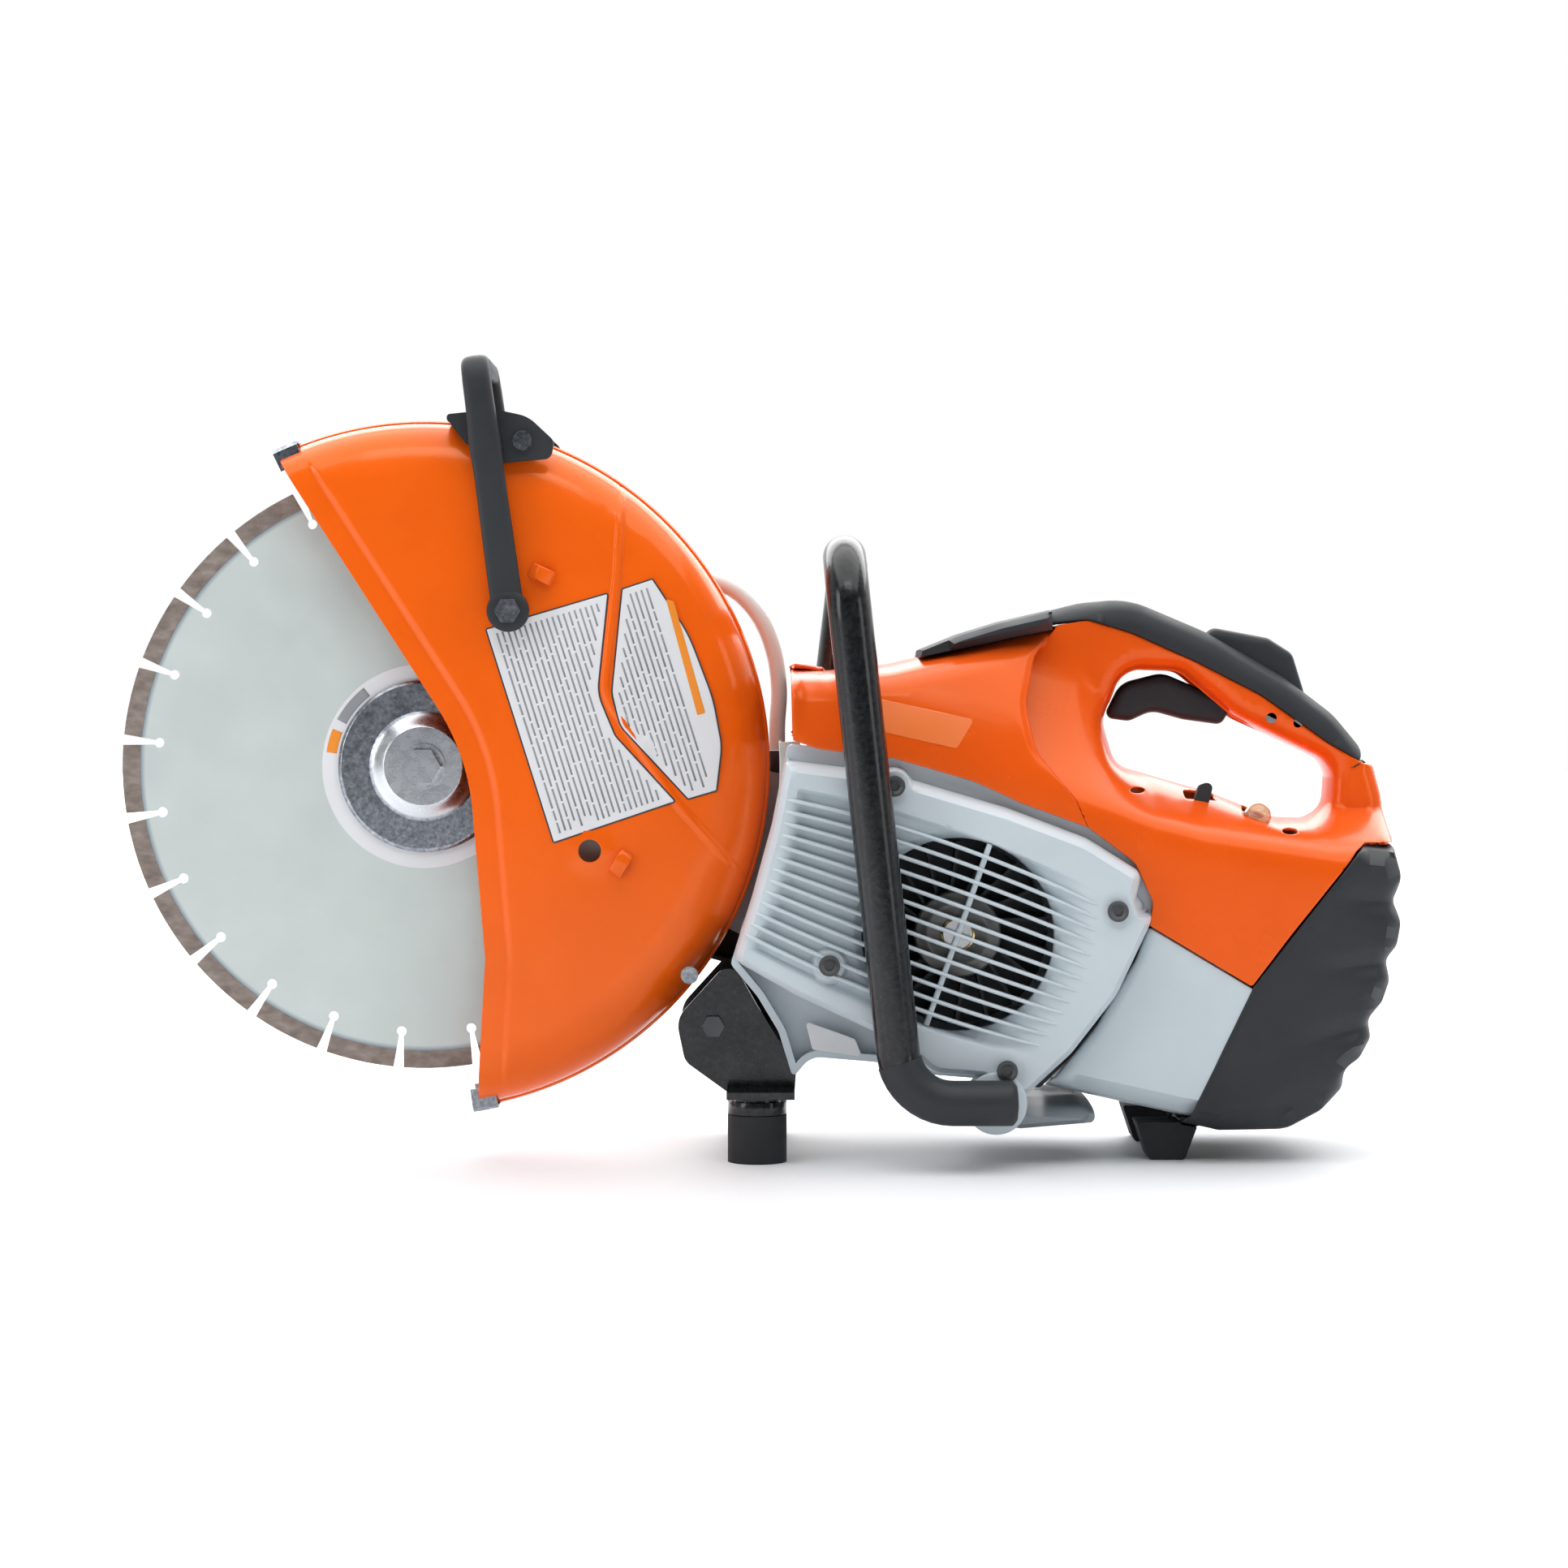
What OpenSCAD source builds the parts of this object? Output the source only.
// Hand-held concrete cut-off saw with a petrol engine.
// +X points from the cutting wheel to the rear handle, -Y is the fan side, +Z is up.
// The origin lies on the ground under the middle of the saw.

/* [Cutting wheel] */
// Diameter of the disc over its segments
wheel_d = 350; // [346:1:350]
// Radial height of the segments
segment_h = 10; // [7:1:12]
// Thickness of the disc core
core_t = 2.4; // [2.0:0.1:2.8]
// Thickness of the segments
segment_t = 3.2; // [2.8:0.1:3.6]
// Number of gullets round the rim
gullets = 24; // [18:1:26]
// Diameter of the thrust washers
washer_d = 100; // [90:1:104]

/* [Guard] */
// Outer radius of the wheel guard
guard_r = 198; // [192:1:200]
// Sheet thickness of the guard
guard_t = 2; // [1.6:0.1:2.4]

/* [Engine] */
// Bore diameter of the cylinder
bore_d = 50; // [48:1:50]
// Piston stroke
stroke = 34; // [30:1:34]
// Lean of the cylinder towards the wheel, in degrees
lean = 28; // [26:1:29]
// Number of fan blades
fan_blades = 18; // [12:1:22]

/* [Housing] */
// Number of louvres on the fan cover
louvres = 15; // [13:1:15]
// Wall thickness of the plastic housings
wall = 2.5; // [2.0:0.1:3.0]
// Diameter of the front handle tube
tube_d = 24; // [22:1:24]

/* [Hidden] */
$fn = 72;
fine = 128;
spindle = [-190, 220];
crank = [114, 129];
wheel_r = wheel_d / 2;
wheel_y = 8;
core_r = wheel_r - segment_h;
core_near = wheel_y - core_t / 2;
core_far = wheel_y + core_t / 2;
guard_near = -20;
guard_far = 36;
rim_round = 18;
run = 0.05;
nose_r = 26;
bearing_r = 21;
journal_r = 10;
bearing_w = 12;
belt_y = 72;
belt_w = 12;
big_pulley_r = 48;
small_pulley_r = 24;
belt_gap = 0.3;
belt_t = 4.2;
side_near = -76;
side_far = 76;
fan_face = -92;
fan_back = -54;
case_y = 42;
rod_l = 66;
deck_z = 50;
crown_z = stroke / 2 + rod_l + 17;
pin_z = stroke / 2 + rod_l;
pin_r = 6;
trigger_pin = [296, 248];
lock_pin = [311, 245];
control_pivot = [252, 192];
bulb_at = [287, -40, 193.6];
bulb_tilt = 23;
cap_at = [262, 72];
boss_at = [138, 31];
rope_exit = [141, 103, 165];
rope_top = 192;
tube_r = tube_d / 2;

// Outlines in X and Z. A third number is the corner's radius.
guard_edge = [[-276, 402, 3], [-163, 227, 130], [-153, 110, 0], [-158, 21, 2]];
hood_top = [[22, 277, 2], [40, 275, 20], [78, 279, 60], [112, 287, 60], [150, 297, 0]];
hood_low = [[150, 201, 0], [124, 213, 60], [79, 226, 40], [38, 231, 10], [23, 236, 1]];
handle_top = [[170, 301.5, 6], [189, 303, 12], [221, 297, 20], [268, 273, 40], [315, 250, 40], [343, 227, 4]];
handle_rear = [[356, 210, 14], [362, 178.5, 1]];
handle_foot = [[343, 178.5, 0], [337, 174, 0], [300, 128, 0], [278, 99, 2], [221, 133, 2]];
handle_front = [[223, 146, 8], [213, 168, 14], [169, 194, 60], [150, 201, 0], [150, 297, 0]];
handle_hole = [[201, 246, 14], [212, 276, 16], [244, 275, 14], [276, 248, 20], [330, 222, 13], [328, 190, 14],
               [299, 191, 20], [264, 205, 30], [208, 221, 14]];
grip_crest = [[353, 223, 2], [324, 252, 40], [301, 271, 40], [259, 297, 40], [217, 314, 10], [196, 314, 10],
              [168, 309, 1]];
cap_panel = [[95, 288, 1], [117, 296, 20], [140, 303, 20], [168, 309, 1], [168, 301.5, 0], [148, 298, 8],
             [112, 289, 20], [94, 284, 1]];
body_top = [[150, 232, 0], [205, 232, 4], [214, 218, 8], [266, 202, 20], [299, 188, 10], [345, 181, 6],
            [362, 178.5, 1]];
tank_line = [[157, 39, 4], [236, 24, 4], [290, 24, 14], [324, 52, 30], [346, 100, 30], [350, 158, 14],
             [343, 172, 4], [338, 172, 4], [300.6, 127.4, 0], [278.3, 98.4, 2], [221, 132.5, 2], [214, 114, 30],
             [191, 75, 30], [169, 48, 4]];
bumper_line = [[346, 177.5, 2], [361, 177.5, 4], [365.9, 158, 12], [361, 146, 3], [363, 136, 6], [362, 122, 6],
               [356, 112, 3], [357, 103, 5], [353, 88, 6], [346, 79, 3], [347, 71, 5], [340, 56, 6], [332, 51, 3],
               [332, 43, 5], [318, 27, 14], [300, 17, 14], [262, 16, 4], [240, 20, 1], [281, 97, 2], [309, 131, 30],
               [341, 170, 8]];
fan_line = [[20, 230, 3], [78, 220, 30], [145, 197, 60], [190, 177, 40], [219, 160, 14], [217, 132, 24],
            [199, 94, 40], [176, 63, 30], [152, 38, 6], [128, 49, 10], [100, 51, 16], [82, 67, 14], [24, 94, 10],
            [-11, 114, 8], [0, 148, 40], [11, 188, 60]];
case_line = [[20, 225, 3], [145, 192, 60], [206, 162, 14], [212, 134, 24], [194, 94, 40], [171, 63, 30],
             [149, 44, 6], [100, 48, 16], [69, 55, 20], [33, 58, 12], [23, 46, 2], [15, 72, 20], [3, 92, 20],
             [-12, 110, 4], [0, 148, 40], [11, 188, 60]];
engine_line = [tilted(-38, deck_z), tilted(38, deck_z), [150, 175, 10], [166, 140, 14], [160, 95, 14], [140, 72, 10],
               [80, 68, 10], [26, 62, 4], [26, 96, 6], [50, 120, 10]];
arm_line = [[-190, 254, 0], [20, 214, 60], [120, 190, 20], [160, 172, 14], [166, 110, 20], [140, 72, 14],
            [80, 74, 20], [-20, 126, 60], [-190, 186, 0]];
cheek_line = [[-12, 112, 8], [-43, 78, 14], [-38, 54, 10], [-13, 36, 4], [24, 36, 1], [25, 50, 4], [2, 87, 10]];
trigger_line = [[202, 249, 3], [215, 268, 10], [236, 273, 10], [262, 262, 10], [299, 255, 4], [302, 244, 4],
                [292, 241, 3], [276, 254, 4], [270, 244, 4], [248, 248, 10], [230, 252, 8], [217, 246, 6]];
lock_line = [[258, 294, 2], [264, 299, 3], [297, 293, 3], [309, 285, 3], [317, 262, 6], [317, 240, 3],
             [305.5, 240, 2], [305.5, 258, 4], [295, 272, 6], [262, 281, 4]];
heat_span = [-27, 4];

// A point at x and z of the leaning cylinder's own directions, as an outline corner.
function tilted(x, z) =
    [crank[0] + x * cos(lean) - z * sin(lean), crank[1] + x * sin(lean) + z * cos(lean), 0];

// ---- Outline helpers ----

function unit(v) = v / norm(v);
function xz(p) = [p[0], p[1]];

// One corner b between a and c, rounded to the radius in b's third number.
function corner(a, b, c, steps = 6) =
    let (u = unit(xz(a) - xz(b)), v = unit(xz(c) - xz(b)), half = acos(max(-1, min(1, u * v))) / 2, r = b[2])
    r == 0 || half > 89 ? [xz(b)] :
    let (m = xz(b) + unit(u + v) * r / sin(half), turn = 180 - 2 * half,
         s = unit(xz(b) + u * r / tan(half) - m), e = unit(xz(b) + v * r / tan(half) - m))
    [for (i = [0 : steps]) m + r * (s * sin(turn * (1 - i / steps)) + e * sin(turn * i / steps)) / sin(turn)];

function rounded(p, steps = 6) =
    let (n = len(p))
    [for (i = [0 : n - 1]) each corner(p[(i + n - 1) % n], p[i], p[(i + 1) % n], steps)];

function area2(p) = let (n = len(p)) [for (i = [0 : n - 1]) cross(xz(p[i]), xz(p[(i + 1) % n]))]
    * [for (i = [0 : n - 1]) 1];

// The outline moved inwards by d, with its corner radii kept concentric.
function inset(p, d) =
    let (n = len(p), ccw = sign(area2(p)))
    [for (i = [0 : n - 1])
        let (a = xz(p[(i + n - 1) % n]), b = xz(p[i]), c = xz(p[(i + 1) % n]),
             u = unit(a - b), v = unit(c - b), half = acos(max(-1, min(1, u * v))) / 2,
             turn = ccw * sign(cross(b - a, c - b)))
        half > 89 ? concat(b + ccw * d * [-(c - b)[1], (c - b)[0]] / norm(c - b), [p[i][2]])
                  : concat(b + turn * unit(u + v) * d / sin(half), [max(0, p[i][2] - turn * d)])];

module slab(p, y0, y1) {
    translate([0, y1, 0]) rotate([90, 0, 0]) linear_extrude(y1 - y0) polygon(rounded(p));
}

module rod(at, r, y0, y1, sides = 72) {
    translate([at[0], y1, at[1]]) rotate([90, 0, 0]) cylinder(r = r, h = y1 - y0, $fn = sides);
}

module ring(at, outer, inner, y0, y1) {
    difference() {
        rod(at, outer, y0, y1);
        rod(at, inner, y0 - 1, y1 + 1);
    }
}

// A body of revolution about the Y direction; the profile holds radius and Y.
module turned(at, profile, sides = 96) {
    translate([at[0], 0, at[1]]) rotate([-90, 0, 0]) rotate_extrude($fn = sides) polygon(profile);
}

module round_spindle(angle) {
    translate([spindle[0], 0, spindle[1]]) rotate([0, -angle, 0]) children();
}

module round_crank(angle) {
    translate([crank[0], 0, crank[1]]) rotate([0, -angle, 0]) children();
}

// Local Z runs up the leaning cylinder from the crankshaft's axis.
module on_cylinder() {
    translate([crank[0], 0, crank[1]]) rotate([0, -lean, 0]) children();
}

module both_sides() {
    children();
    mirror([0, 1, 0]) children();
}

// ---- Belt geometry ----

belt_dir = unit(crank - spindle);
belt_span = norm(crank - spindle);

function turn_by(v, a) = [v[0] * cos(a) - v[1] * sin(a), v[0] * sin(a) + v[1] * cos(a)];

module loop_shape(r1, r2) {
    lap = acos((r1 - r2) / belt_span);
    translate(spindle) circle(r1, $fn = fine);
    translate(crank) circle(r2, $fn = fine);
    polygon([spindle + r1 * turn_by(belt_dir, lap), spindle + r1 * turn_by(belt_dir, -lap),
             crank + r2 * turn_by(belt_dir, -lap), crank + r2 * turn_by(belt_dir, lap)]);
}

module loop_slab(r1, r2, y0, y1) {
    translate([0, y1, 0]) rotate([90, 0, 0]) linear_extrude(y1 - y0) loop_shape(r1, r2);
}

// ---- Cutting wheel ----

gullet_hole_r = 2.8;
gullet_at = wheel_r - 20.7;

module gullet_cuts() {
    for (i = [0 : gullets - 1]) round_spindle(10 + i * 360 / gullets) {
        rod([gullet_at, 0], gullet_hole_r, 0, 16, 24);
        translate([0, 16, 0]) rotate([90, 0, 0]) linear_extrude(16)
            polygon([[gullet_at, -1.1], [wheel_r + 2, -3.3], [wheel_r + 2, 3.3], [gullet_at, 1.1]]);
    }
}

module cutting_disc() {
    color("#c9d2d0") difference() {
        rod(spindle, core_r, core_near, core_far, fine);
        rod(spindle, journal_r + run, 0, 16);
        gullet_cuts();
    }
}

module diamond_segments() {
    color("#8c7f76") difference() {
        rod(spindle, wheel_r, wheel_y - segment_t / 2, wheel_y + segment_t / 2, fine);
        rod(spindle, core_r, 0, 16, fine);
        gullet_cuts();
    }
}

bolt_r = 5;
dish_r = 28.7;

module front_washer() {
    r = washer_d / 2;
    color("silver") turned(spindle, [[bolt_r + 0.2, -3.5], [dish_r - 6, -3.5], [dish_r, 1.5], [dish_r + 3, 3],
        [r - 2, 3], [r, 4.5], [r, core_near], [dish_r, core_near], [dish_r - 6, 1], [bolt_r + 0.2, 1]]);
}

module rear_washer() {
    r = washer_d / 2;
    color("gray") turned(spindle, [[journal_r + run, core_far], [r, core_far], [r, core_far + 3],
        [dish_r, core_far + 5.8], [journal_r + run, core_far + 5.8]]);
}

module wheel_bolt() {
    color("silver") {
        rod(spindle, 11, -13, -6, 6);
        rod(spindle, 13, -6, -3.5);
        rod(spindle, bolt_r, -6, 28);
    }
}

module spindle_shaft() {
    color("dimgray") turned(spindle, [[bolt_r + run, 2], [journal_r, 2], [journal_r, 15], [13, 15], [13, 25.5],
        [journal_r, 25.5], [journal_r, 62], [9, 62], [9, 84], [0, 84], [0, 30], [bolt_r + run, 30]]);
}

module spindle_pulley() {
    r = big_pulley_r;
    color("gray") difference() {
        turned(spindle, [[9 + run, 62.5], [15, 62.5], [15, 67], [r - 8, 67], [r - 8, 63.5], [r + 3, 63.5],
            [r + 3, 65], [r, 65], [r, 79], [r + 3, 79], [r + 3, 80.5], [r - 8, 80.5], [r - 8, 77], [15, 77],
            [15, 81], [9 + run, 81]]);
        for (i = [0 : 5]) round_spindle(i * 60) rod([27, 0], 7, 60, 84, 32);
    }
}

module one_bearing(at, y0) {
    w = bearing_w;
    turned(at, [[journal_r + 0.02, y0], [13.5, y0], [14, y0 + 1], [17, y0 + 1], [17.5, y0], [bearing_r, y0],
        [bearing_r, y0 + w], [17.5, y0 + w], [17, y0 + w - 1], [14, y0 + w - 1], [13.5, y0 + w],
        [journal_r + 0.02, y0 + w]], 72);
}

module bearings() {
    color("lightsteelblue") {
        one_bearing(spindle, 26);
        one_bearing(spindle, 46);
        one_bearing(crank, -36);
        one_bearing(crank, 24);
    }
}

// ---- Guard ----

guard_outline = concat(guard_edge, [[40, 0, 0], [40, 440, 0], [-262, 440, 0], [-279, 406, 0]]);
near_hole = [-93, 172];
lug_at = [-36, 101];

module guard_channel(r, y0, y1, round) {
    // A drum with a rounded rim at both sides.
    turned(spindle, concat([[0, y0]],
        [for (i = [0 : 6]) [r - round + round * sin(i * 15), y0 + round - round * cos(i * 15)]],
        [for (i = [0 : 6]) [r - round + round * cos(i * 15), y1 - round + round * sin(i * 15)]],
        [[0, y1]]), fine);
}

module guard_shell() {
    color("#f15a24") difference() {
        union() {
            intersection() {
                difference() {
                    guard_channel(guard_r, guard_near, guard_far, rim_round);
                    guard_channel(guard_r - guard_t, guard_near + guard_t, guard_far - guard_t,
                        rim_round - guard_t);
                }
                slab(guard_outline, guard_near - 1, guard_far + 1);
            }
            rod(spindle, 62, guard_far - guard_t, guard_far);
            rod(lug_at, 8, guard_near + 2, guard_near + 6);
        }
        rod(spindle, nose_r + 4, guard_far - 5, guard_far + 5);
        rod(near_hole, 6.5, guard_near - 1, guard_near + 5);
        rod(lug_at, 3.3, guard_near - 2, guard_near + 8);
    }
}

module guard_hub() {
    color("dimgray") difference() {
        union() {
            rod(spindle, 48, guard_far, guard_far + 7);
            rod(spindle, nose_r + 4, guard_far - 3, guard_far);
        }
        rod(spindle, nose_r + run, guard_far - 8, guard_far + 8);
    }
}

lever_foot = [-139, 309];
lever_top = [-158, 449];
lever_near = -32.7;
lever_far = 49;
leg_w = 7;

module lever_leg(y0) {
    side = unit(lever_top - lever_foot);
    across = [side[1], -side[0]];
    difference() {
        union() {
            rod(lever_foot, 12, y0, y0 + leg_w);
            rod(lever_top, 10, y0, y0 + leg_w);
            translate([0, y0 + leg_w, 0]) rotate([90, 0, 0]) linear_extrude(leg_w)
                polygon([lever_foot - 10 * across, lever_foot + 10 * across,
                         lever_top + 8 * across, lever_top - 8 * across]);
        }
        rod(lever_foot, 4.05, y0 - 1, y0 + leg_w + 1);
    }
}

module guard_lever() {
    color("#2b2e31") {
        lever_leg(lever_near);
        lever_leg(lever_far - leg_w);
        rod(lever_top, 9, lever_near + leg_w, lever_far - leg_w);
    }
}

bracket_crest = [[-176, 421, 2], [-147, 424, 10], [-128, 420, 20]];
bracket_cheek = concat(bracket_crest, [[-113, 406, 5], [-115, 396, 5], [-147, 393, 6], [-164, 405, 4]]);
bracket_saddle = concat(bracket_crest, [[-120, 410, 5], [-130, 400, 5], [-170, 410, 4]]);
bracket_screw = [-131, 406];
bracket_t = 5.3;

module lever_bracket() {
    color("#303437") difference() {
        union() {
            slab(bracket_cheek, guard_near - 0.2 - bracket_t, guard_near - 0.2);
            slab(bracket_cheek, guard_far + 0.2, guard_far + 0.2 + bracket_t);
            slab(bracket_saddle, guard_near - 0.2, guard_far + 0.2);
        }
        rod(spindle, guard_r + 0.2, guard_near - 0.2, guard_far + 0.2, fine);
        rod(bracket_screw, 3.05, guard_near - 8, guard_near);
    }
}

module guard_screws() {
    color("silver") {
        rod(lever_foot, 7.5, lever_near - 3, lever_near, 6);
        rod(lever_foot, 4, lever_near, guard_near);
        rod(lever_foot, 4, guard_far, lever_far);
        rod(lever_foot, 7.5, lever_far, lever_far + 3, 6);
        rod(bracket_screw, 5.5, guard_near - 9, guard_near - 5.5);
        rod(bracket_screw, 3, guard_near - 5.5, guard_near - 0.4);
        rod(lug_at, 5, guard_near - 1, guard_near + 2);
        for (a = [45, 135, 225, 315]) round_spindle(a) rod([37, 0], 5, guard_far + 7, guard_far + 9.5, 6);
    }
}

module guard_clips() {
    color("silver") {
        difference() {
            intersection() {
                rod(spindle, guard_r + 3, guard_near + 14, guard_far - 14, fine);
                translate([-282, guard_near + 14, 392]) cube([16, 30, 30]);
            }
            rod(spindle, guard_r, guard_near, guard_far, fine);
        }
        difference() {
            intersection() {
                rod(spindle, guard_r + 3, guard_near + 14, guard_far - 14, fine);
                translate([-162, guard_near + 14, 10]) cube([22, 30, 40]);
            }
            rod(spindle, guard_r, guard_near, guard_far, fine);
        }
    }
}

// ---- Water ----

nozzle_at = [-64, 325];
hose_r = 4.75;
hose_route = [[-52, 45, 327], [-40, 45, 329], [-25, 46, 328.5], [-9, 47, 321], [4, 48, 306], [12, 50, 286],
              [15, 51, 264], [14, 52, 244], [14, 52, 228.3]];

// A point of the smooth curve through the route, between its points i and i + 1.
function pt(p, i) = p[max(0, min(len(p) - 1, i))];
function smooth(p, i, t) =
    0.5 * (2 * pt(p, i) + (pt(p, i + 1) - pt(p, i - 1)) * t
        + (2 * pt(p, i - 1) - 5 * pt(p, i) + 4 * pt(p, i + 1) - pt(p, i + 2)) * t * t
        + (3 * pt(p, i) - pt(p, i - 1) - 3 * pt(p, i + 1) + pt(p, i + 2)) * t * t * t);

module swept(route, r, sides = 10, parts = 2) {
    line = concat([for (i = [0 : len(route) - 2]) for (j = [0 : parts - 1]) smooth(route, i, j / parts)],
                  [route[len(route) - 1]]);
    n = len(line);
    across = [0, 1, 0];
    rings = [for (i = [0 : n - 1])
        let (d = unit(line[min(n - 1, i + 1)] - line[max(0, i - 1)]), u = unit(across - d * (across * d)),
             v = cross(d, u))
        for (k = [0 : sides - 1]) line[i] + r * (u * cos(360 * k / sides) + v * sin(360 * k / sides))];
    polyhedron(points = rings,
        faces = concat([[for (k = [0 : sides - 1]) k]],
            [for (i = [0 : n - 2]) for (k = [0 : sides - 1])
                [i * sides + k, (i + 1) * sides + k, (i + 1) * sides + (k + 1) % sides, i * sides + (k + 1) % sides]],
            [[for (k = [sides - 1 : -1 : 0]) (n - 1) * sides + k]]));
}

module water_nozzle() {
    color("#26292b") {
        rod(nozzle_at, 9, guard_far, guard_far + 14);
        translate([nozzle_at[0], 45, nozzle_at[1]]) rotate([0, 80.5, 0]) cylinder(r = 6, h = 12);
    }
}

module water_hose() {
    color("#e8e6df") swept(hose_route, hose_r);
}

module water_connector() {
    color("#26292b") difference() {
        union() {
            translate([14, 52, 216]) cylinder(r = 7, h = 12);
            translate([6, 46, 212]) cube([16, 12, 6]);
            translate([14, 52, 222]) rotate([0, 90, 0]) cylinder(r = 5, h = 22);
        }
        slab(arm_line, 40, 60);
    }
}

// ---- Arm, belt and clutch ----

module cast_arm() {
    color("#8f9599") difference() {
        union() {
            slab(arm_line, 46, 56);
            rod(spindle, 34, 46, 60);
            rod(spindle, nose_r, 24.6, 46);
            ring(crank, 56, 46, case_y, 46);
        }
        rod(spindle, bearing_r, 26, 61);
        rod(spindle, 14, 20, 40);
        rod(crank, 46, 40, 60);
        for (x = [-120, -50, 20]) translate([x, 40, 220 - (x + 190) * 0.3]) rotate([-90, 0, 0])
            cylinder(r = 12, h = 20);
    }
}

// The outline round both pulleys, from one arc to the other.
function loop_points(r1, r2) =
    let (lap = acos((r1 - r2) / belt_span), step = 6)
    concat([for (a = [lap : step : 360 - lap]) spindle + r1 * turn_by(belt_dir, a)],
           [for (a = [-lap : step : lap]) crank + r2 * turn_by(belt_dir, a)]);

module belt_guard() {
    color("#2b2e31") difference() {
        translate([0, 92, 0]) rotate([90, 0, 0]) linear_extrude(32) polygon(loop_points(66, 62));
        translate([0, 89.5, 0]) rotate([90, 0, 0]) linear_extrude(32) polygon(loop_points(63.5, 59.5));
        rod(crank, 16, 85, 95);
    }
}

module drive_belt() {
    inner1 = big_pulley_r + belt_gap;
    inner2 = small_pulley_r + belt_gap;
    color("#1c1c1e") difference() {
        loop_slab(inner1 + belt_t, inner2 + belt_t, belt_y - belt_w / 2, belt_y + belt_w / 2);
        loop_slab(inner1, inner2, belt_y - belt_w, belt_y + belt_w);
    }
}

drum_r = 42;

module clutch_drum() {
    r = small_pulley_r;
    color("gray") turned(crank, [[journal_r + run, 60], [drum_r - 3, 60], [drum_r - 3, 44], [drum_r, 44],
        [drum_r, 63], [r + 3, 63], [r + 3, 65], [r, 65], [r, 79], [r + 3, 79], [r + 3, 81],
        [journal_r + run, 81]]);
}

module clutch_shoes() {
    color("#4a4440") for (i = [0 : 2]) round_crank(i * 120) intersection() {
        ring([0, 0], drum_r - 4, 15, 47, 58);
        translate([0, 58, 0]) rotate([90, 0, 0]) linear_extrude(11)
            polygon([[4, 0], [50, -60], [50, 60]]);
    }
}

// ---- Engine ----

web_r = 32;

module crankshaft() {
    color("darkgray") {
        turned(crank, [[0, -86.5], [8, -86.5], [8, -56.5], [journal_r, -56.5], [journal_r, -14], [web_r, -14],
            [web_r, -7], [0, -7]]);
        turned(crank, [[0, 7], [web_r, 7], [web_r, 14], [journal_r, 14], [journal_r, 44], [15, 44], [15, 47],
            [14.5, 47], [14.5, 58], [journal_r, 58], [journal_r, 93], [0, 93]]);
    }
}

module crankcase_cuts() {
    rod(crank, 36, -16, 16);
    rod(crank, bearing_r, -36, 36);
    rod(crank, 12, -50, 50);
    on_cylinder() cylinder(r = 29.1, h = deck_z + 10);
}

module crankcase_left() {
    color("#9aa0a4") difference() {
        slab(engine_line, -case_y, 0);
        crankcase_cuts();
    }
}

module crankcase_right() {
    color("#90969a") difference() {
        slab(engine_line, 0, case_y);
        crankcase_cuts();
    }
}

module connecting_rod() {
    low = stroke / 2;
    color("lightgray") on_cylinder() {
        difference() {
            union() {
                rod([0, low], 13, -6, 6);
                rod([0, pin_z], 10, -6, 6);
                translate([-5, -4, low + 8]) cube([10, 8, rod_l - 14]);
            }
            rod([0, low], 8, -7, 7);
            rod([0, pin_z], pin_r + 0.02, -7, 7);
        }
        rod([0, low], 7.97, -6.7, 6.7);
    }
}

module piston() {
    r = bore_d / 2 - run;
    color("silver") on_cylinder() difference() {
        union() {
            translate([0, 0, pin_z - 14]) difference() {
                cylinder(r = r, h = crown_z - pin_z + 14);
                translate([0, 0, -1]) cylinder(r = r - 4, h = 26);
            }
            both_sides() rod([0, pin_z], 9, 8, r - 3);
        }
        rod([0, pin_z], pin_r + 0.02, -30, 30);
    }
}

module piston_pin() {
    color("gray") on_cylinder() rod([0, pin_z], pin_r, -20, 20);
}

valve_y = 21.5;

module cylinder_body() {
    translate([0, 0, deck_z - 8]) cylinder(r = 29, h = 10);
    translate([0, 0, deck_z]) cylinder(r = 31, h = 66);
    translate([-36, -36, deck_z]) cube([72, 72, 6]);
    for (z = [63 : 6 : 114]) translate([0, 0, z]) intersection() {
        cylinder(r = 42, h = 2);
        translate([-34, -38, 0]) cube([68, 76, 2]);
    }
    translate([-40, -15, 58]) cube([20, 30, 20]);
    translate([20, -15, 60]) cube([20, 30, 20]);
    translate([0, valve_y, 112]) cylinder(r = 7, h = 10);
}

module engine_cylinder() {
    color("#a9aeb1") on_cylinder() difference() {
        cylinder_body();
        translate([0, 0, deck_z - 10]) cylinder(r = bore_d / 2, h = crown_z + 12 - deck_z);
        translate([0, 0, 90]) cylinder(r = 7, h = 40);
        translate([0, valve_y, 108]) cylinder(r = 4.05, h = 20);
        translate([-50, 0, 68]) rotate([0, 90, 0]) cylinder(r = 8, h = 40);
        translate([10, 0, 70]) rotate([0, 90, 0]) cylinder(r = 8, h = 40);
    }
}

module spark_plug() {
    color("#232527") on_cylinder() {
        translate([0, 0, 106]) cylinder(r = 6.95, h = 14);
        translate([0, 0, 119]) cylinder(r = 11, h = 6, $fn = 6);
        translate([0, 0, 124]) cylinder(r = 9, h = 22);
    }
}

module decompression_valve() {
    color("#3b7dc4") on_cylinder() translate([0, valve_y, 0]) {
        translate([0, 0, 113]) cylinder(r = 3.97, h = 15);
        translate([0, 0, 127]) cylinder(r = 7, h = 8);
    }
}

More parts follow.
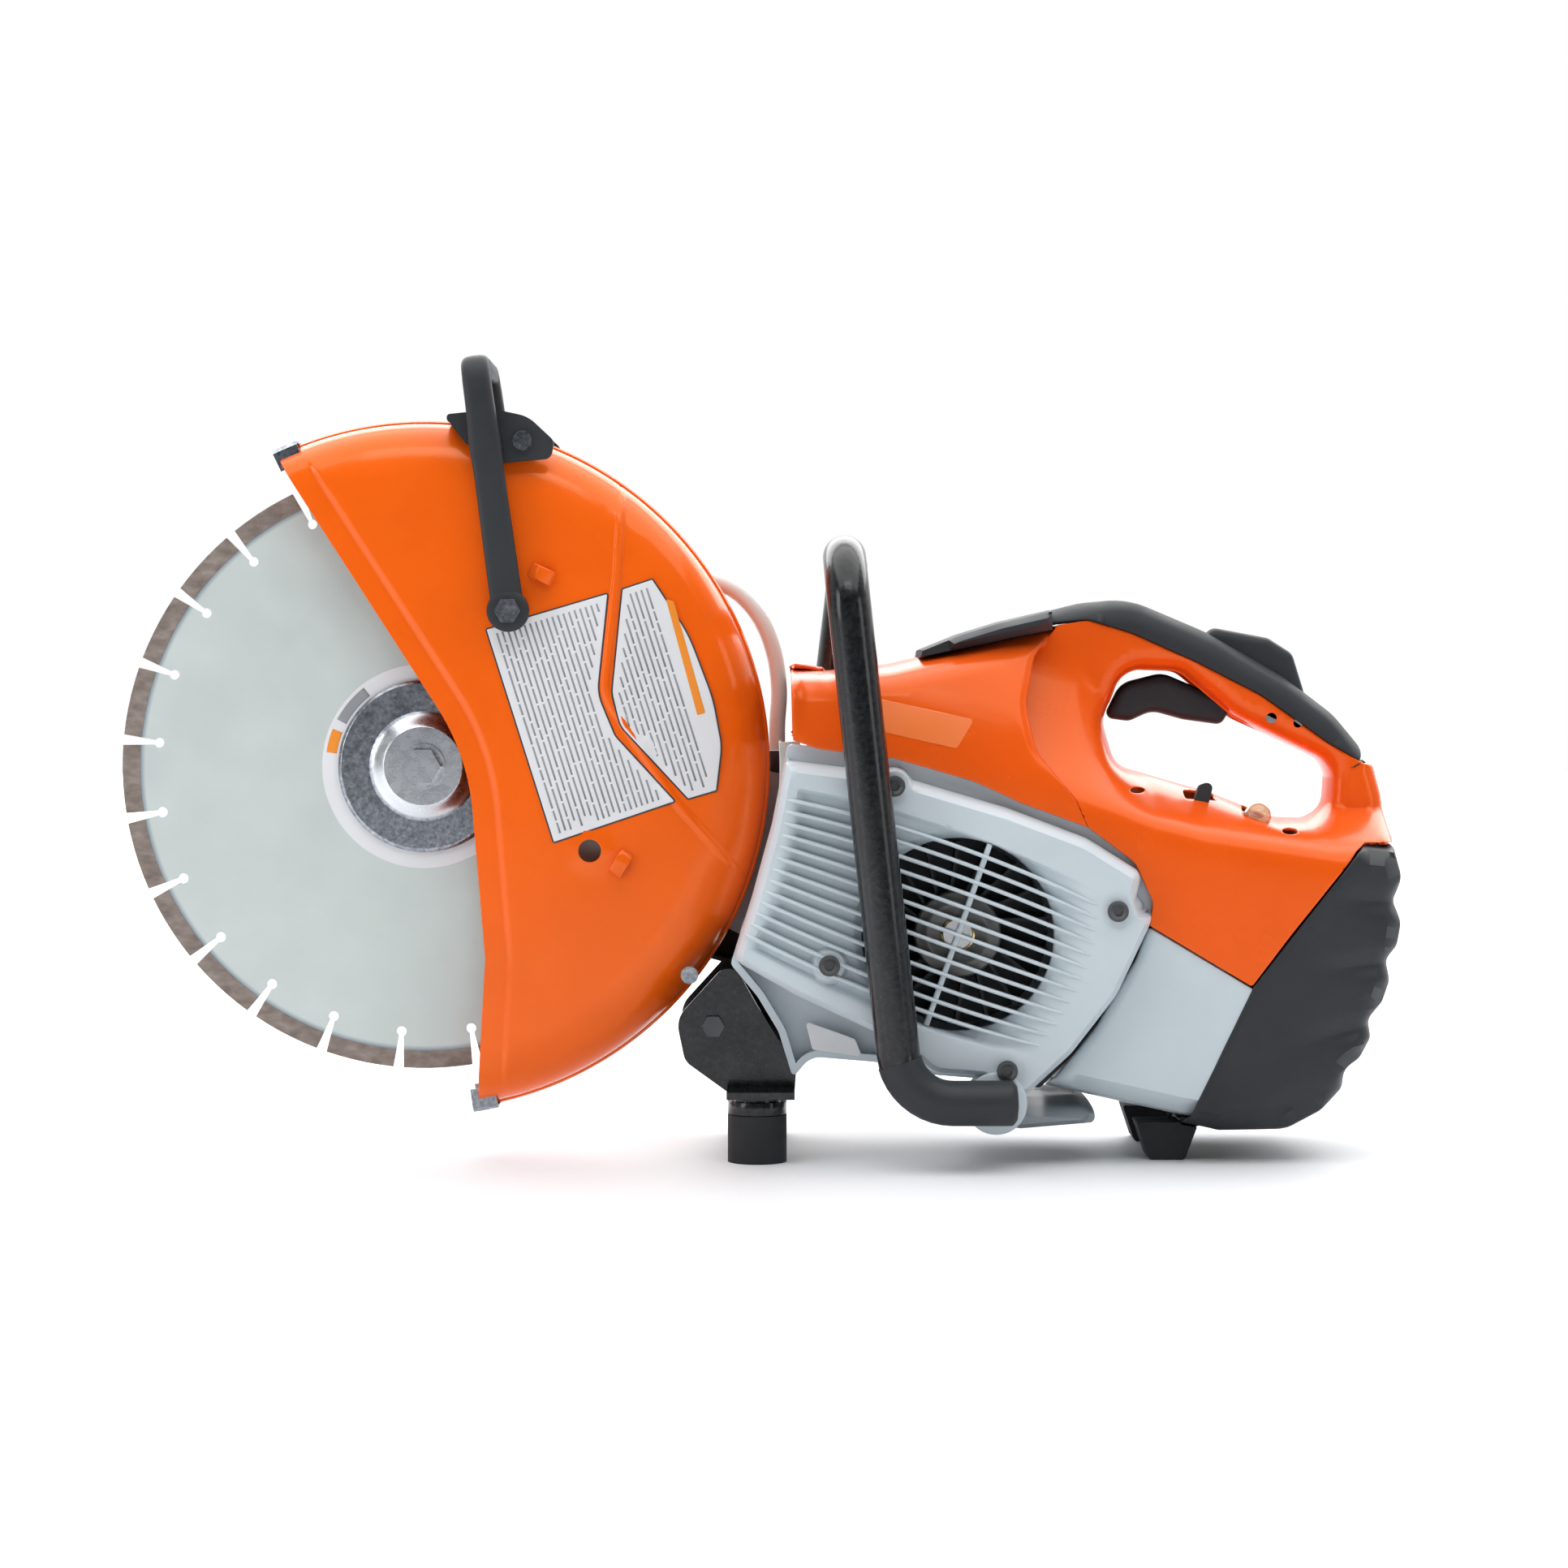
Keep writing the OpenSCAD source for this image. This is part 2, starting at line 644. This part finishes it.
module muffler() {
    color("#b9bcbd") on_cylinder() difference() {
        slab([[-62, 51, 6], [-40.1, 51, 4], [-40.1, 98, 4], [-62, 98, 6]], -34, 34);
        slab([[-60.5, 52.5, 5], [-41.6, 52.5, 3], [-41.6, 96.5, 3], [-60.5, 96.5, 5]], -32.5, 32.5);
        translate([-50, 0, 68]) rotate([0, 90, 0]) cylinder(r = 8, h = 20);
        translate([-70, -20, 60]) rotate([0, 90, 0]) cylinder(r = 5, h = 20);
    }
}

module heat_shield() {
    shield_r = 205.5;
    round_angle = heat_span[1] - heat_span[0];
    color("#c9cccd") round_spindle(heat_span[0]) rotate([90, 0, 0]) {
        translate([0, 0, -40]) rotate_extrude(angle = round_angle, $fn = fine) translate([shield_r, 0])
            square([1.5, 80]);
        translate([0, 0, 38.5]) rotate_extrude(angle = round_angle, $fn = fine) translate([shield_r, 0])
            square([12, 1.5]);
    }
}

module carburettor() {
    color("#9fa3a6") on_cylinder() difference() {
        translate([40.1, -18, 56]) cube([32, 36, 30]);
        translate([30, 0, 70]) rotate([0, 90, 0]) cylinder(r = 8, h = 60);
    }
}

module air_filter() {
    color("#d9c9a0") difference() {
        slab([[102, 246, 4], [147, 258, 4], [147, 291, 4], [102, 279, 4]], -42, 42);
        for (y = [-39 : 6 : 39]) translate([108, y - 1.5, 240]) cube([34, 3, 20]);
    }
}

// ---- Fan side ----

module fan_wheel() {
    color("#303336") {
        turned(crank, [[8 + 0.02, -85], [16, -85], [20, -62], [51, -62], [51, -57], [8 + 0.02, -57]]);
        for (i = [0 : fan_blades - 1]) round_crank(i * 360 / fan_blades)
            translate([21, -80, -0.9]) rotate([0, 18, 0]) cube([30, 18.5, 1.8]);
    }
}

module fan_housing() {
    color("#c6ced3") difference() {
        union() {
            difference() {
                slab(case_line, fan_back, -case_y - 0.2);
                slab(inset(case_line, 4), fan_back - 1, -case_y - 3);
            }
            for (at = screw_spots) rod(at, 6, fan_back, -case_y - 1);
        }
        rod(crank, 16, -60, -40);
        for (at = screw_spots) rod(at, 2.55, fan_back - 1, -40);
    }
}

screw_spots = [[79, 211], [202, 142], [43, 112], [141, 54]];
fan_hole_r = 53;
louvre_slope = -17;
louvre_pitch = 10.4;

module louvre_bars() {
    // Parallel slats, cut to the cover's outline.
    intersection() {
        translate([crank[0], 0, crank[1]]) rotate([0, -louvre_slope, 0])
            for (i = [0 : louvres - 1])
                translate([-150, fan_face + 0.4, (i - (louvres - 1) / 2) * louvre_pitch - 1.6])
                    cube([235, 4.6, 3.2]);
        slab(inset(fan_line, 8), fan_face - 1, fan_face + 6);
    }
}

module fan_cover() {
    color("#cfd6da") difference() {
        union() {
            difference() {
                slab(fan_line, fan_face, fan_back);
                slab(inset(fan_line, wall), fan_face + wall, fan_back + 1);
                rod(crank, fan_hole_r, fan_face - 1, fan_face + 5);
            }
            louvre_bars();
            translate([crank[0], 0, crank[1]]) rotate([0, -louvre_slope + 90, 0])
                translate([-fan_hole_r - 2, fan_face + 1, -1.5]) cube([2 * fan_hole_r + 4, 4, 3]);
            for (at = screw_spots) rod(at, 6.5, fan_face + 1, fan_back - 0.2);
        }
        for (at = screw_spots) rod(at, 2.55, fan_face - 1, fan_back + 1);
    }
}

module cover_screw(at, face, deep) {
    rod(at, 2.5, face, face + deep);
    difference() {
        rod(at, 5.5, face - 3, face);
        rod(at, 2.6, face - 4, face - 1.2, 6);
    }
}

bracket_bolt = [-22, 74];
starter_spots = [45, 165, 285];
starter_r = 52;

module housing_screws() {
    color("#34383b") for (at = screw_spots) cover_screw(at, fan_face, 44);
    color("silver") both_sides() rod(bracket_bolt, 6.5, -case_y - 3.7, -case_y + 0.3, 6);
    color("#34383b") for (a = starter_spots) round_crank(a) rod([starter_r - 6, 0], 5, 113.5, 116);
}

// ---- Hood, handle and tank ----

module hood() {
    outer = concat(hood_top, hood_low);
    inner = concat([[22 + wall, 262, 2]], [[40, 275 - wall, 20], [78, 279 - wall, 60], [112, 287 - wall, 60],
        [156, 298 - wall, 0]], [[156, 180, 0], [22 + wall, 180, 0]]);
    color("#f15a24") difference() {
        slab(outer, side_near, side_far);
        slab(inner, side_near + wall, side_far - wall);
        translate([99, -46, 240]) cube([60, 92, 80]);
        translate([0, -62, 228]) cube([40, 124, 38]);
    }
}

module filter_cover() {
    color("#2f3236") slab(cap_panel, -48, 48);
}

handle_half = 24;

control_y = -35;
control_pin_r = 2.45;

// Two ribs under the shell hold the control lever's pin.
module control_lugs() {
    for (y = [control_y - 9, control_y + 4.5]) translate([246, y, 185]) cube([12, 4.5, 20]);
}

module handle_body() {
    shell = concat(body_top, handle_foot, [[223, 146, 8], [213, 168, 14], [169, 194, 60], [150, 201, 0]]);
    inner = concat([[140, 229, 0], [204, 229, 3], [213, 215, 8], [265, 199, 20], [299, 185, 10], [340, 178, 4]],
        [[334, 174, 0], [300, 131, 0], [278, 92, 0], [214, 120, 0]], [[140, 150, 0]]);
    difference() {
        union() {
            difference() {
                slab(concat(handle_front, handle_top, handle_rear, [[345, 181, 6], [299, 188, 0], [214, 218, 0]],
                    [[205, 232, 0], [150, 232, 0]]), -handle_half, handle_half);
                slab(handle_hole, -handle_half - 1, handle_half + 1);
            }
            slab([[150, 231, 0], [150, 297, 0], [172, 300, 6], [190, 290, 12], [198, 262, 10], [198, 231, 0]],
                -52, 52);
            slab(shell, side_near, side_far);
        }
        slab(inner, side_near + 3, side_far - 3);
        slab([[140, 225, 0], [140, 290, 0], [165, 294, 4], [185, 284, 6], [193, 262, 4], [193, 225, 0]], -49, 49);
        slab([[198, 240, 0], [196, 262, 0], [206, 288, 4], [224, 290, 6], [262, 271, 4], [306, 258, 3],
              [307, 238, 2], [284, 232, 0]], -9, 9);
        slab([[246, 266, 0], [246, 310, 0], [318.5, 310, 0], [318.5, 238, 2], [300, 238, 0], [290, 262, 0]],
            -9, 9);
    }
}

module rear_handle() {
    color("#f15a24") difference() {
        union() {
            handle_body();
            control_lugs();
        }
        rod(trigger_pin, 3.02, -30, 30);
        rod(lock_pin, 2.52, -30, 30);
        rod(control_pivot, control_pin_r + 0.02, control_y - 7, control_y + 7);
        translate([246, control_y - 4.5, 190]) cube([18, 9, 30]);
        translate(bulb_at) rotate([0, bulb_tilt, 0]) translate([0, 0, -12]) cylinder(r = 9.3, h = 20);
    }
}

module handle_grip() {
    color("#26292c") difference() {
        slab(concat(grip_crest, [[168, 301.7, 0]], [for (p = handle_top) [p[0], p[1] + 0.2, p[2]]]),
            -handle_half - 1, handle_half + 1);
        translate([246, -9, 235]) cube([72.5, 18, 75]);
    }
}

module throttle_trigger() {
    color("#1f2123") difference() {
        slab(trigger_line, -8, 8);
        rod(trigger_pin, 3.06, -10, 10);
    }
}

module trigger_lockout() {
    color("#1f2123") difference() {
        slab(lock_line, -8, 8);
        rod(lock_pin, 2.56, -10, 10);
    }
}

module handle_pins() {
    color("silver") {
        rod(trigger_pin, 3, -handle_half, handle_half);
        rod(lock_pin, 2.5, -handle_half, handle_half);
        rod(control_pivot, control_pin_r, control_y - 7, control_y + 7);
    }
}

module control_lever() {
    color("#1b1d1f") difference() {
        union() {
            rod(control_pivot, 7, control_y - 3, control_y + 3);
            slab([[248, 194, 0], [257, 194, 0], [262, 213, 3], [253, 210, 3]], control_y - 3, control_y + 3);
        }
        rod(control_pivot, control_pin_r + run, control_y - 5, control_y + 5);
    }
}

module primer_bulb() {
    color("#f0c9a8") translate(bulb_at) rotate([0, bulb_tilt, 0]) {
        translate([0, 0, -2]) cylinder(r = 9, h = 5);
        intersection() {
            translate([0, 0, 2]) sphere(r = 8);
            translate([-10, -10, 2]) cube([20, 20, 12]);
        }
    }
}

tank_half = 68;

module fuel_tank() {
    color("#ccd3d7") difference() {
        slab(tank_line, -tank_half, tank_half);
        slab(inset(tank_line, 3), -tank_half + 3, tank_half - 3);
        rod(cap_at, 16, tank_half - 10, tank_half + 1);
    }
}

module fuel_cap() {
    color("#1f2123") {
        rod(cap_at, 15.7, tank_half - 3, tank_half + 8);
        rod(cap_at, 19, tank_half + 8, tank_half + 15);
        translate([cap_at[0] - 16, tank_half + 14, cap_at[1] - 3]) cube([32, 6, 6]);
    }
}

module rear_bumper() {
    color("#292c30") difference() {
        slab(bumper_line, side_near, side_far);
        slab(inset(tank_line, -0.3), -tank_half - 0.3, tank_half + 0.3);
        slab([[225, 120, 0], [279, 101.5, 0], [345.8, 178.5, 0], [330, 178.5, 0], [230, 180, 0]],
            -tank_half - 0.3, tank_half + 0.3);
        rod(cap_at, 24, tank_half - 10, side_far + 5);
    }
}

module rear_feet() {
    color("#1d1f21") both_sides() difference() {
        slab([[216, 21, 1], [251, 21, 1], [243, 0, 3], [223, 0, 3]], -54, -26);
        slab(inset(tank_line, -0.05), -60, -20);
        slab(bumper_line, -80, 80);
    }
}

// ---- Front handle ----

handle_path = [[138, -106, boss_at[1]], [86, -106, 38], [52, -106, 338], [57, 106, 338], [24, 106, 68],
               [24, 60, 68]];
handle_bends = [30, 34, 34, 30];

// Distance from a corner of the path to where its bend starts.
function reach(i) =
    let (u = unit(handle_path[i - 1] - handle_path[i]), v = unit(handle_path[i + 1] - handle_path[i]))
    handle_bends[i - 1] / tan(acos(u * v) / 2);

module straight(a, b, r) {
    d = b - a;
    translate(a) rotate([0, acos(d[2] / norm(d)), atan2(d[1], d[0])]) cylinder(r = r, h = norm(d), $fn = 48);
}

module bend(i, r) {
    p = handle_path[i];
    u = unit(p - handle_path[i - 1]);
    v = unit(handle_path[i + 1] - p);
    turn = acos(u * v);
    start = p - u * reach(i);
    side = unit(v - u * (u * v));
    centre = start + side * handle_bends[i - 1];
    out = -side;
    up = cross(out, u);
    multmatrix([[out[0], u[0], up[0], centre[0]], [out[1], u[1], up[1], centre[1]],
                [out[2], u[2], up[2], centre[2]], [0, 0, 0, 1]])
        rotate_extrude(angle = turn, $fn = fine) translate([handle_bends[i - 1], 0]) circle(r = r, $fn = 48);
}

// The straights are a hair thinner than the bends and run 1 mm into them.
module front_handle() {
    last = len(handle_path) - 2;
    color("#17191b") {
        for (i = [0 : last]) {
            way = unit(handle_path[i + 1] - handle_path[i]);
            straight(handle_path[i] + (i > 0 ? reach(i) - 1 : 0) * way,
                     handle_path[i + 1] - (i < last ? reach(i + 1) - 1 : 0) * way, tube_r - 0.03);
        }
        for (i = [1 : last]) bend(i, tube_r);
    }
}

module handle_skid() {
    color("#aeb6bb") difference() {
        union() {
            rod(boss_at, 15, -118, -92.3);
            slab([[126, 36, 3], [150, 35, 3], [196, 26, 2], [193, 18, 4], [150, 16, 6], [130, 18, 6]], -100, 60);
        }
        straight(handle_path[1], handle_path[0], tube_r + 0.02);
    }
}

// ---- Front bracket and feet ----

module front_bracket() {
    color("#1a1c1e") difference() {
        union() {
            both_sides() slab(cheek_line, -case_y + 0.3, -case_y + 4);
            rod(bracket_bolt, 8, -case_y + 2, case_y - 2);
            translate([-14, -74, 36]) cube([38, 148, 4]);
            both_sides() translate([3, -58, 14]) cylinder(r = 13, h = 24);
            both_sides() translate([3, -58, 27]) cylinder(r = 16.5, h = 7);
            translate([10, 30, 52]) cube([15.5, 34, 32]);
        }
        straight(handle_path[4], handle_path[5], tube_r + 0.02);
        rod(bracket_bolt, 4, -60, -20);
        rod(bracket_bolt, 4, 20, 60);
        slab(engine_line, -case_y, case_y);
    }
}

module front_feet() {
    color("#222426") both_sides() translate([3, -58, 0]) difference() {
        cylinder(r = 16.5, h = 26.5);
        translate([0, 0, 14]) cylinder(r = 13.02, h = 20);
    }
}

// ---- Starter ----

module starter_cover() {
    color("#2f3236") difference() {
        rod(crank, starter_r, 92.2, 113.5);
        rod(crank, starter_r - wall, 92, 111);
        for (i = [0 : 11]) round_crank(i * 30 + 15) translate([24, 108, -1.6]) cube([20, 8, 3.2]);
        translate([rope_exit[0], rope_exit[1], 160]) cylinder(r = 3, h = 40);
    }
    color("#2f3236") rod(crank, 7, 97, 111.5);
}

module starter_pulley() {
    color("#d8d4c8") turned(crank, [[7 + run, 97], [32, 97], [32, 98.5], [26, 100], [26, 105], [32, 106.5],
        [32, 108], [7 + run, 108]]);
}

module starter_grip() {
    color("#1c1e20") translate([rope_exit[0], rope_exit[1], rope_top]) {
        cylinder(r = 6, h = 12);
        translate([-22, -7, 10]) cube([44, 14, 13]);
    }
}

module starter_rope() {
    color("white") translate(rope_exit) cylinder(r = 1.8, h = rope_top - rope_exit[2], $fn = 24);
}

cutting_disc();
diamond_segments();
front_washer();
rear_washer();
wheel_bolt();
spindle_shaft();
spindle_pulley();
bearings();
guard_shell();
guard_hub();
guard_lever();
lever_bracket();
guard_screws();
guard_clips();
water_nozzle();
water_hose();
water_connector();
cast_arm();
belt_guard();
drive_belt();
clutch_drum();
clutch_shoes();
crankshaft();
crankcase_left();
crankcase_right();
connecting_rod();
piston();
piston_pin();
engine_cylinder();
spark_plug();
decompression_valve();
muffler();
heat_shield();
carburettor();
air_filter();
fan_wheel();
fan_housing();
fan_cover();
housing_screws();
hood();
filter_cover();
rear_handle();
handle_grip();
throttle_trigger();
trigger_lockout();
handle_pins();
control_lever();
primer_bulb();
fuel_tank();
fuel_cap();
rear_bumper();
rear_feet();
front_handle();
handle_skid();
front_bracket();
front_feet();
starter_cover();
starter_pulley();
starter_grip();
starter_rope();
